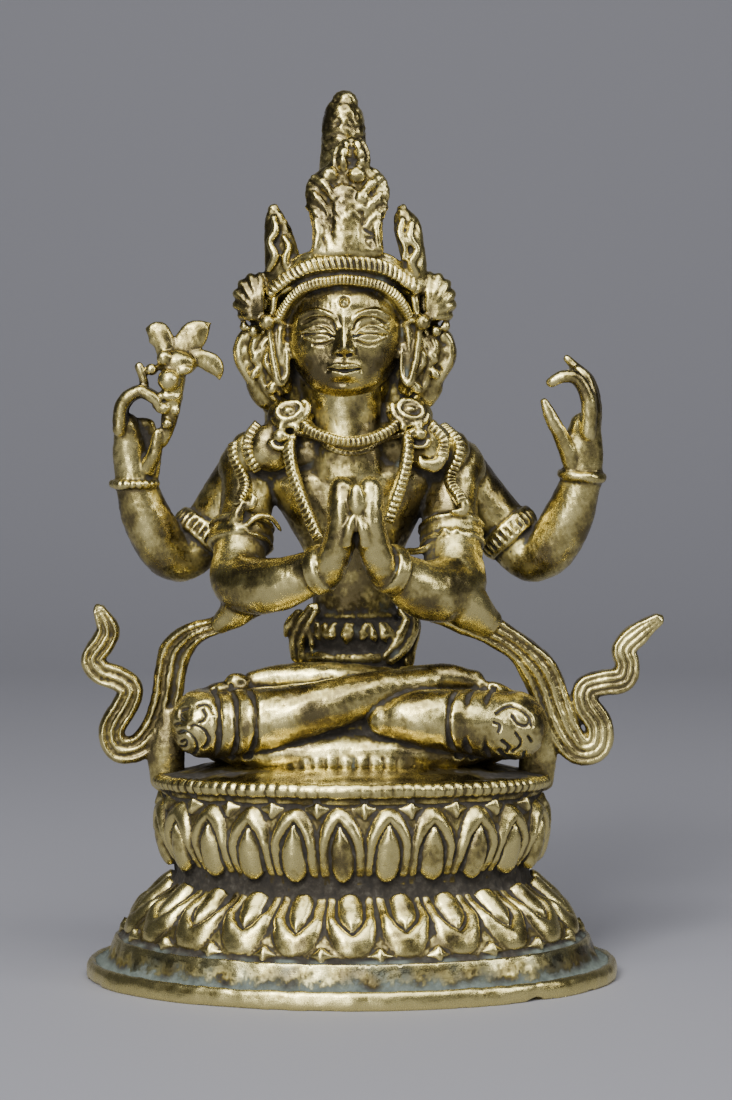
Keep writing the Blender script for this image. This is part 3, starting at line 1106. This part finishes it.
SCROLLS_RIGHT = [
    [
        (24.0, -15.6, 12.6), (25.8, -15.8, 13.6), (27.8, -15.6, 13.2), (29.6, -14.8, 11.8),
        (30.0, -14.4, 10.4),
    ],
    [
        (26.7, -15.8, 12.1), (27.5, -15.8, 10.9), (29.0, -15.2, 10.4), (29.6, -14.8, 11.4),
        (28.8, -15.4, 12.4),
    ],
    [(23.6, -15.6, 11.2), (24.6, -15.8, 10.6), (24.4, -15.8, 9.4)],
    [(24.5, -15.4, 6.2), (25.5, -15.2, 5.0), (27.0, -14.8, 3.9), (28.4, -14.6, 4.2), (28.8, -14.8, 5.6)],
    [(25.0, -15.6, 7.9), (26.1, -15.6, 6.7), (25.8, -15.4, 5.8)],
    [(27.2, -15.7, 9.2), (28.1, -15.5, 7.8), (27.8, -15.4, 6.7), (26.8, -15.4, 5.9)],
    [(29.4, -14.8, 8.6), (30.0, -14.2, 7.6)],
]


def cuff_lines():
    """Grooves between the cuffs, bowed round each shin below its knee."""
    turns = np.radians(np.arange(-85, 96, 15))
    return [
        [(x + bow * math.cos(a), y - 5.6 * math.cos(a), z + 6.0 * math.sin(a)) for a in turns]
        for x, bow, y, z in (
            (-23.0, 0.9, -10.4, 10.0), (-20.4, 1.5, -10.8, 10.5), (-17.9, 2.2, -11.4, 10.8),
            (18.2, -2.3, -12.2, 11.0), (20.6, -1.9, -11.4, 10.6), (23.6, -1.7, -10.6, 10.2),
        )
    ]


def face_lumps():
    """Nose, sockets, eyeballs, cheeks, mouth and chin: place, half width, half height, height."""
    middle = [
        ((0, -10, 77.0), 1.0, 2.4, 0.7), ((0, -10, 74.4), 1.0, 1.6, 1.0), ((0, -11, 72.85), 1.2, 1.05, 1.5),
        ((0, -9, 69.4), 2.6, 1.7, 0.8), ((0, -10, 69.85), 1.7, 0.5, 0.4), ((0, -10, 68.3), 1.4, 0.55, 0.65),
        ((0, -9, 67.1), 1.7, 0.5, -0.4), ((0, -8, 65.9), 1.9, 1.3, 0.8), ((0, -10, 70.9), 0.35, 0.5, -0.25),
        ((0, -10, 80.6), 3.8, 2.0, 0.25),
    ]
    paired = [
        ((1.4, -10, 72.3), 0.66, 0.62, 0.8), ((4.1, -9, 76.0), 2.6, 1.5, -0.9),
        ((4.4, -9, 75.45), 2.2, 0.95, 1.15), ((5.6, -8, 71.4), 2.4, 2.2, 0.35),
        ((2.9, -9, 69.3), 0.55, 0.7, -0.35), ((4.2, -9, 78.3), 3.2, 0.8, 0.5),
    ]
    sides = ((middle, 1), (paired, -1), (paired, 1))
    return [(mirrored([place], side)[0], *size) for lumps, side in sides for place, *size in lumps]


def face_carving(obj):
    """Brows, lids, nostrils, lips and the round mark on the brow, as strokes seen from the front."""
    strokes = []
    for side in (-1, 1):
        for line, half, height in (
            ([(1.0, 76.4), (1.7, 77.9), (3.2, 78.9), (5.2, 79.2), (7.4, 78.2)], 0.62, 0.4),
            ([(1.5, 76.3), (2.6, 77.6), (4.8, 78.0), (7.0, 77.1)], 0.5, -0.3),
            ([(1.9, 75.2), (3.2, 76.3), (4.9, 76.5), (7.1, 75.5)], 0.42, 0.34),
            ([(1.7, 74.9), (3.2, 75.35), (4.9, 75.4), (6.9, 75.1)], 0.36, -0.42),
            ([(2.0, 74.6), (3.4, 74.1), (5.1, 74.1), (6.7, 74.8)], 0.38, 0.24),
            ([(2.2, 74.0), (3.6, 73.4), (5.2, 73.5)], 0.4, -0.16),
            ([(0.55, 71.6), (1.1, 71.75)], 0.38, -0.5),
            ([(2.1, 72.8), (2.2, 71.9)], 0.4, -0.14),
            ([(0, 69.1), (1.2, 69.2), (2.6, 69.5)], 0.34, -0.5),
            ([(0.25, 70.0), (1.3, 70.15), (2.7, 69.7)], 0.34, 0.2),
        ):
            strokes.append((mirrored([(x, 0, z) for x, z in line], side), half, height))
    turns = np.linspace(0, 2 * math.pi, 9)
    ring = [(MIDDLE + 0.85 * math.cos(a), 0, 80.6 + 0.85 * math.sin(a)) for a in turns]
    strokes += [(ring, 0.3, -0.32), ([(MIDDLE, 0, 80.6)], 0.45, 0.3)]
    carve(obj, strokes, from_front=True)


def chisel_marks():
    """Short cuts and grooves on the crown's leaves and the coil of hair."""
    marks = [
        ([(3.4, -9, 92.6), (4.8, -8.6, 91.6), (3.6, -9, 90.8), (4.6, -8.8, 89.6)], 0.4, -0.2),
        ([(-3.4, -8.8, 91.2), (-3.2, -9, 89.2)], 0.5, -0.14),
        ([(1.3, -7.8, 103.0), (1.35, -7.6, 106.4)], 0.35, -0.12),
        ([(-2.4, -8.4, 95.6), (-2.2, -8.8, 92.4)], 0.4, -0.12),
        ([(3.0, -8.4, 95.4), (3.1, -8.8, 93.6)], 0.4, -0.12),
    ]
    for z in (104.4, 106.4, 108.2, 110.0):
        groove = [(-3.2, -3.2, z), (-1.0, -4, z + 0.5), (1.6, -4, z - 0.2), (3.2, -3, z + 0.3)]
        marks.append((groove, 0.55, -0.16))
    return [(mirrored(line, 1), half, height) for line, half, height in marks]


def chest_straps(tree):
    """The necklace, the strands of the chest and the hooked straps of the shoulders."""
    necklace = [(-8.4, -3, 61.2), (-5.6, -6.6, 58.6), (-0.4, -8.4, 57.2), (4.9, -6.8, 58.5), (8.3, -3, 61.6)]
    edge = [(-8.6, -5, 58.9), (-5, -7.6, 56.3), (-0.3, -8.4, 55.3), (4.4, -7.8, 56.1), (8.6, -5, 59)]
    straps = [
        ribbed(tree, necklace, 0.95, 0.85, 0.8, (0, 2), 0.6),
        ribbed(tree, edge, 0.5, 0.55, 0.9, (0, 2), 0.2),
    ]
    for line in (
        [(-10.9, -6.8, 57.4), (-9.9, -8.0, 51.4), (-7.8, -8.9, 46), (-5.6, -9.6, 41.0)],
        [(9.8, -7, 58.0), (9.0, -8.2, 52.5), (7.6, -9, 48), (6.0, -9.4, 43.8)],
    ):
        straps.append(ribbed(tree, line, 1.0, 0.75, 0.95, (0, 4), 0.5, 0.2))
    for line in (
        [(-19.6, -1.8, 57.2), (-19.9, -3.2, 53.6), (-18.7, -4.6, 50.2), (-18.5, -5.4, 46.8)],
        [(-15.6, -2.8, 60.2), (-17.3, -3.6, 57.6), (-17.5, -4.6, 54.8), (-16.0, -5.8, 52.4)],
        [(16.2, -2.6, 59.6), (18.0, -3.2, 56.8), (18.0, -4.4, 53.8), (17.1, -5.4, 50.8), (18.3, -5.9, 47.2)],
        [(13.4, -3.4, 60.2), (15.4, -4.0, 57.6), (15.2, -5.2, 54.8)],
    ):
        straps.append(ribbed(tree, line, 1.0, 0.9, 0.85, (math.copysign(15, line[0][0]), 3), 0.5))
    return straps


def crown_bands(tree):
    """Two milled bands across the brow, the upper one of taller, slanting ribs."""
    low = arch([
        (-10.3, -1.6, 75.8), (-9.9, -4.4, 79.0), (-8.4, -6.9, 81.7), (-5.4, -8.6, 83.5), (-2.4, -9.3, 84.1),
        (0, -9.4, 84.3),
    ])
    mid = arch([
        (-11.2, -0.6, 79.8), (-10.6, -3.6, 82.9), (-8.7, -6.2, 85.2), (-5.6, -8.0, 86.6), (-2.5, -8.8, 87.0),
        (0, -8.9, 87.1),
    ])
    return [
        ribbed(tree, low, 0.85, 0.75, 0.64, (MIDDLE, 1), 0.6),
        ribbed(tree, mid, 1.25, 0.8, 1.0, (MIDDLE, 1), 0.75, 0.25),
    ]


# Patina: how dirt, wear and verdigris lie on the skin

SHADE_EVERY = 9  # of so many points, one looks up for what hides the open air
SHADE_LIFT = 1.3
SHADE_REACH = 28

# Soot, wax and dust lie thick at these places, and touch keeps the face clean: place, reach, strength
SOOT = [
    ((0.3, -3, 24.4), (9.5, 9, 5.6), 0.8), ((-12, -6, 30), (4, 8, 4), 0.55),
    ((12, -6, 29.6), (4, 8, 4), 0.55), ((-14, -4, 40), (3.2, 9, 4), 0.45),
    ((13, -4, 40.4), (3.2, 9, 4), 0.45), ((0.5, -11, 36), (7, 5, 5), 0.4), ((-12, 1, 67), (3.4, 4, 5), 0.45),
    ((9.6, 1, 67), (3.4, 4, 5), 0.45), ((-28, -2, 15), (4, 6, 7), 0.35), ((29, -2, 13), (4, 6, 7), 0.35),
    ((MIDDLE, -9, 75), (8.4, 6, 10), -0.45), ((0.5, -13, 8.6), (12, 5, 1.9), 0.5),
    ((0, -9, 20.6), (14, 4, 1.6), 0.4), ((-1.2, -8, 61), (7, 4, 3), 0.3),
    ((-1.2, -5, 91.6), (13, 7, 3.2), 0.25), ((-8.6, -4, 92), (1.6, 5, 8), 0.4),
    ((6.8, -4, 92), (1.6, 5, 8), 0.4),
]


def hollows_of(points, normals, near):
    """How far each point lies below the ground round it: fine, middling and broad hollows."""
    smoothed, hollows = points.copy(), []
    for times in (3, 11, 46):
        for _ in range(times):
            smoothed = 0.5 * smoothed + 0.5 * averaged(smoothed, near)
        hollows.append(((smoothed - points) * normals).sum(1))
    return hollows


def shade_of(points, normals, near, tree):
    """Share of the open air that the figure hides, looked up at some points and spread to the rest."""
    spiral = [(a * 2.4, math.sqrt(1 - h * h), h) for a, h in enumerate(np.linspace(0.15, 0.97, 14))]
    dome = np.array([(math.cos(a) * r, math.sin(a) * r, h) for a, r, h in spiral])
    shade, weight = np.zeros(len(points)), np.zeros(len(points))
    for i in range(0, len(points), SHADE_EVERY):
        up = normals[i]
        side = unit(np.cross(up, (0.3, 0.9, 0.3)))
        ways = dome @ np.stack([side, np.cross(up, side), up])
        start = Vector((points[i] + up * SHADE_LIFT) * MM)
        hits = [tree.ray_cast(start, Vector(w), SHADE_REACH * MM)[0] is not None for w in ways]
        shade[i] = sum(hits) / len(ways)
        weight[i] = 1
    for _ in range(14):
        shade = 0.3 * shade + 0.7 * averaged(shade, near)
        weight = 0.3 * weight + 0.7 * averaged(weight, near)
    return shade / np.maximum(weight, 1e-9)


def base_dirt(points):
    """The base's dirt in the waist, round the lap and on the foot, and the verdigris in the foot's trough."""
    x, y, z = points.T
    half = np.hypot(x, y / DEPTH_SHARE)
    on_seat = z > SEAT
    grime = 0.55 * np.exp(-(((z - WAIST_HEIGHT) / 1.7) ** 2)) + 0.22 * np.clip((9 - z) / 5, 0, 1)
    around_lap = np.exp(-((np.hypot(x / 31.5, (y + 3) / 14.5) - 1) / 0.09) ** 4)
    grime += 0.85 * around_lap * on_seat + 0.35 * on_seat * (y > 2)
    grime -= 0.85 * on_seat * np.clip(-14.5 - y, 0, 1) * np.clip((RIM_HALF - 2 - half) / 1, 0, 1)
    trough = np.exp(-((half - 42.9) / 0.9) ** 2) * (z < 5)
    grime += 0.3 * trough + 0.5 * (z < 7) * (half < FOOT_HALF - 0.9)
    film = (0.35 + 0.5 * waves(points, 5, 24)) * (z < 7.5) * (half < FOOT_HALF - 0.9)
    return grime, np.clip(1.3 * trough + film, 0, 1)


def figure_dirt(points):
    """Grime of the figure, by the places in SOOT and towards the back."""
    grime = 0.35 * np.clip(points[:, 1] / 8, 0, 1)
    for place, reach, strength in SOOT:
        off = (points - np.add(place, (0, 0, SEAT))) / reach
        grime += strength * np.exp(-((off**2).sum(1) ** 1.5))
    return grime


def patina(pieces):
    """Writes grime, wear and verdigris at each point, from the hollows there and from what stands over it."""
    tree = BVHTree.FromObject(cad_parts["statue"], bpy.context.evaluated_depsgraph_get())
    for obj in pieces:
        mesh = obj.data
        points, normals = points_of(mesh), normals_of(mesh)
        near = neighbours(mesh)
        fine, mid, broad = hollows_of(points, normals, near)
        shaded = shade_of(points, normals, near, tree)
        uneven = waves(points, 4.2, 21)
        grime = 5.0 * fine + 3.6 * mid + 1.2 * broad + 1.15 * (shaded - 0.5)
        grime += 0.16 * uneven + 0.1 * waves(points, 1.3, 22)
        wear = -5.0 * fine - 2.4 * mid - 0.7 * np.clip(shaded - 0.35, 0, 1)
        wear += 0.28 * waves(points, 11, 23) + 0.14 * uneven
        cut = mesh.attributes.get("cut")
        if cut:
            depth = np.empty(len(points), np.float32)
            cut.data.foreach_get("value", depth)
            grime += depth
            wear -= depth
            mesh.attributes.remove(cut)
        if obj.name == "lotus_base":
            dirt, green = base_dirt(points)
            grime += dirt
        else:
            grime += figure_dirt(points)
            green = np.clip(waves(points, 6, 25) - 1.0, 0, 0.5) * np.clip(grime * 2, 0, 1)
        for name, values in (("grime", grime), ("wear", wear), ("verdigris", green)):
            mesh.attributes.new(name, "FLOAT", "POINT").data.foreach_set("value", values.astype(np.float32))


# Materials


def linear(code):
    """An sRGB hex value as linear light."""
    parts = [int(code[i : i + 2], 16) / 255 for i in (1, 3, 5)]
    return [p / 12.92 if p <= 0.04045 else ((p + 0.055) / 1.055) ** 2.4 for p in parts] + [1.0]


def put(tree, kind, settings=None, **links):
    """Adds a shader node with its settings and links. A link is named by its socket, or i and a number."""
    node = tree.nodes.new("ShaderNode" + kind)
    for key, value in (settings or {}).items():
        if key == "ramp":
            ramp = node.color_ramp
            while len(ramp.elements) < len(value):
                ramp.elements.new(0.5)
            for element, (place, colour) in zip(ramp.elements, value):
                element.position = place
                element.color = linear(colour)
        elif isinstance(key, int) or key in node.inputs:
            node.inputs[key].default_value = value
        else:
            setattr(node, key, value)
    for key, source in links.items():
        numbered = key[0] == "i" and key[1:].isdigit()
        tree.links.new(source, node.inputs[int(key[1:]) if numbered else key])
    return node


def cast_brass():
    """Brass cast by lost wax, chased and filed by hand.

    Touch keeps the high places pale and bright, a thin olive film lies beside every hollow,
    and soot, wax and dust sit matt and dark in the hollows themselves."""
    mat = bpy.data.materials.new("hand chased cast brass")
    mat.use_nodes = True
    tree = mat.node_tree
    shader = tree.nodes["Principled BSDF"]
    where = put(tree, "TexCoord").outputs["Object"]
    mm = put(tree, "VectorMath", {"operation": "SCALE", "Scale": 1000.0}, Vector=where).outputs["Vector"]
    cloud = put(tree, "TexNoise", {"Scale": 0.14, "Detail": 4.0, "Roughness": 0.6}, Vector=mm).outputs["Fac"]
    mottle = put(tree, "TexNoise", {"Scale": 0.8, "Detail": 6.0, "Roughness": 0.7}, Vector=mm).outputs["Fac"]
    grit = put(tree, "TexNoise", {"Scale": 3.6, "Detail": 4.0, "Roughness": 0.65}, Vector=mm).outputs["Fac"]
    grime = put(tree, "Attribute", {"attribute_name": "grime"}).outputs["Fac"]
    wear = put(tree, "Attribute", {"attribute_name": "wear"}).outputs["Fac"]
    green = put(tree, "Attribute", {"attribute_name": "verdigris"}).outputs["Fac"]

    # Grime spreads unevenly, in specks at its border
    soft = {"interpolation_type": "SMOOTHSTEP"}
    patchy = put(tree, "Math", {"operation": "MULTIPLY_ADD", 1: 1.1}, i0=mottle, i2=grime).outputs[0]
    speckled = put(tree, "Math", {"operation": "MULTIPLY_ADD", 1: 0.55}, i0=grit, i2=patchy).outputs[0]
    spots = put(tree, "TexVoronoi", {"Scale": 0.62, "Randomness": 1.0}, Vector=mm).outputs["Distance"]
    pit_span = {"From Min": 0.07, "From Max": 0.17, "To Min": 0.9, "To Max": 0.0}
    pits = put(tree, "MapRange", pit_span, Value=spots).outputs[0]
    pitted = put(tree, "Math", {"operation": "MULTIPLY"}, i0=pits, i1=mottle).outputs[0]
    speckled = put(tree, "Math", {"operation": "ADD"}, i0=speckled, i1=pitted).outputs[0]
    dirty = put(tree, "MapRange", {**soft, "From Min": 1.22, "From Max": 1.72}, Value=speckled).outputs[0]
    filmy = put(tree, "MapRange", {**soft, "From Min": 0.72, "From Max": 1.5}, Value=speckled).outputs[0]
    rubbed = put(tree, "Math", {"operation": "MULTIPLY_ADD", 1: 0.9}, i0=cloud, i2=wear).outputs[0]
    shine = put(tree, "MapRange", {**soft, "From Min": 0.15, "From Max": 0.9}, Value=rubbed).outputs[0]

    brasses = [(0.0, "#736847"), (0.5, "#a99b60"), (1.0, "#d6c886")]
    metal = put(tree, "ValToRGB", {"ramp": brasses}, Fac=shine).outputs["Color"]
    tint = {"data_type": "RGBA", "blend_type": "MULTIPLY", 7: linear("#948f78")}
    film = put(tree, "Mix", tint, i0=filmy, i6=metal).outputs[2]
    dusts = [(0.3, "#151310"), (0.52, "#2b261e"), (0.75, "#4b473f")]
    dust = put(tree, "ValToRGB", {"ramp": dusts}, Fac=mottle).outputs["Color"]
    soiled = put(tree, "Mix", {"data_type": "RGBA"}, i0=dirty, i6=film, i7=dust).outputs[2]
    salts = put(tree, "Math", {"operation": "MULTIPLY", "use_clamp": True}, i0=green, i1=mottle).outputs[0]
    verdigris = {"data_type": "RGBA", 7: linear("#74817a")}
    colour = put(tree, "Mix", verdigris, i0=salts, i6=soiled).outputs[2]
    tree.links.new(colour, shader.inputs["Base Color"])

    bare = put(tree, "Math", {"operation": "SUBTRACT", 0: 1.0, "use_clamp": True}, i1=dirty).outputs[0]
    tree.links.new(bare, shader.inputs["Metallic"])
    dull_span = {"From Min": 0.6, "From Max": 1.8, "To Min": 0.2, "To Max": 0.9}
    dull = put(tree, "MapRange", dull_span, Value=speckled).outputs[0]
    rough = put(tree, "Math", {"operation": "MULTIPLY_ADD", 1: 0.14}, i0=grit, i2=dull).outputs[0]
    tree.links.new(rough, shader.inputs["Roughness"])

    # File and cloth marks run crosswise, and fine casting pits lie between them
    stretched = put(tree, "Mapping", {"Scale": (0.5, 0.5, 8.0)}, Vector=mm).outputs["Vector"]
    marks = put(tree, "TexNoise", {"Scale": 1.0, "Detail": 3.0}, Vector=stretched).outputs["Fac"]
    ground = put(tree, "Math", {"operation": "MULTIPLY_ADD", 1: 0.6}, i0=marks, i2=grit).outputs[0]
    height = put(tree, "Math", {"operation": "SUBTRACT"}, i0=ground, i1=pitted).outputs[0]
    bump = put(tree, "Bump", {"Strength": 0.22, "Distance": 0.0001}, Height=height).outputs["Normal"]
    tree.links.new(bump, shader.inputs["Normal"])
    return mat


def studio_floor():
    mat = bpy.data.materials.new("matt painted board")
    mat.use_nodes = True
    shader = mat.node_tree.nodes["Principled BSDF"]
    shader.inputs["Base Color"].default_value = linear("#88888f")
    shader.inputs["Roughness"].default_value = 0.7
    return mat


# The studio

LAMPS = (
    ("key", (-0.35, -0.9, 0.65), (0.3, 0.3), 11.0),
    ("fill", (0.85, -0.45, 0.5), (0.3, 0.4), 3.5),
    ("top", (0.0, -0.6, 0.85), (1.1, 0.7), 12.0),
    ("front", (-0.35, -1.2, 0.2), (0.45, 0.45), 4.5),
)
LAMPS_AIM = Vector((0, 0, 0.075))
ROOM_LIGHT = 0.12
CAMERA_PLACE = (0.0024, -0.560, 0.105)
CAMERA_TILT = 3.30
CAMERA_LENS = 108.0


def floor_sweep():
    """A board that runs flat under the statue and bends up behind it."""
    bend = [(0.55 + 0.5 * math.sin(a), 0.5 - 0.5 * math.cos(a)) for a in np.linspace(0, math.pi / 2, 14)]
    rows = [(-1.2, 0)] + bend + [(1.05, 2.4)]
    verts = [(x, y, z) for y, z in rows for x in (-2.4, 2.4)]
    faces = [(2 * i, 2 * i + 1, 2 * i + 3, 2 * i + 2) for i in range(len(rows) - 1)]
    mesh = bpy.data.meshes.new("floor")
    mesh.from_pydata(verts, [], faces)
    mesh.materials.append(studio_floor())
    mesh.shade_smooth()
    return bpy.data.objects.new("floor", mesh)


def studio():
    """The floor, soft lamps, a dim room and the camera at the height of the figure's face."""
    scene = bpy.context.scene
    floor = floor_sweep()
    scene.collection.objects.link(floor)

    world = bpy.data.worlds.new("room")
    scene.world = world
    world.use_nodes = True
    backdrop = world.node_tree.nodes["Background"]
    backdrop.inputs["Color"].default_value = linear("#b9bcc4")
    backdrop.inputs["Strength"].default_value = ROOM_LIGHT
    for name, place, size, power in LAMPS:
        light = bpy.data.lights.new(name, "AREA")
        light.shape = "RECTANGLE"
        light.size, light.size_y = size
        light.energy = power
        lamp = bpy.data.objects.new(name, light)
        lamp.location = place
        lamp.rotation_euler = (LAMPS_AIM - Vector(place)).to_track_quat("-Z", "Y").to_euler()
        scene.collection.objects.link(lamp)

    lens = bpy.data.cameras.new("camera")
    lens.sensor_width = 36
    lens.lens = CAMERA_LENS
    lens.clip_start = 0.01
    camera = bpy.data.objects.new("camera", lens)
    camera.location = CAMERA_PLACE
    camera.rotation_euler = (math.radians(90 - CAMERA_TILT), 0, 0)
    scene.collection.objects.link(camera)
    scene.camera = camera


def main():
    upper = torso() + waist_sash() + joined_hands() + front_arm(-1) + front_arm(1) + armlet_knots() + collar()
    base = lotus_base()
    body = cast("torso_and_front_arms", upper, 0.29)
    lap = cast("crossed_legs", legs() + hem_fan(), 0.3)
    arms = [
        cast("raised_arm_with_lotus", raised_arm(-1) + lotus_hand() + held_flower(), 0.24),
        cast("raised_arm_open_hand", raised_arm(1) + open_hand(), 0.24),
    ]
    scarves = [cast("scarf_left", scarf(-1), 0.25), cast("scarf_right", scarf(1), 0.25)]
    top = cast("head_and_crown", head() + crown() + ear_side(-1) + ear_side(1), 0.25)

    carve(lap, [(line, 0.85, -0.9, (0, -0.8, 0.4)) for line in cuff_lines()])
    carve(lap, [(line, 0.4, -0.5) for line in SCROLLS_LEFT + SCROLLS_RIGHT], from_front=True)
    carve(top, chisel_marks(), from_front=True)
    smoothed_in(top, (MIDDLE - 8.6, -14, 63), (MIDDLE + 8.6, -5, 82), 12)
    refined(top, (MIDDLE - 8, -14, 64.5), (MIDDLE + 8, -3, 82.5))
    mould(top, face_lumps())
    face_carving(top)
    straps = fitted("chest_and_shoulder_straps", body, chest_straps)
    bands = fitted("crown_bands", top, crown_bands)
    figure = [body, lap, *arms, *scarves, top, straps, bands]
    for piece in figure:
        set_points(piece.data, points_of(piece.data) + (0, 0, SEAT))

    pieces = [base, *figure]
    for piece in pieces:
        hand_worked(piece)
        piece.data.shade_smooth()
    points = points_of(base.data)
    points[:, 2] = np.where(points[:, 2] < 0.25, 0, points[:, 2])
    set_points(base.data, points)
    patina(pieces)
    brass = cast_brass()
    for piece in pieces:
        thinned(piece, MOST_TRIANGLES.get(piece.name, MOST_TRIANGLES_ELSE))
        piece.data.materials.clear()
        piece.data.materials.append(brass)
        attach(piece, "root")
    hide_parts("statue")
    studio()


main()
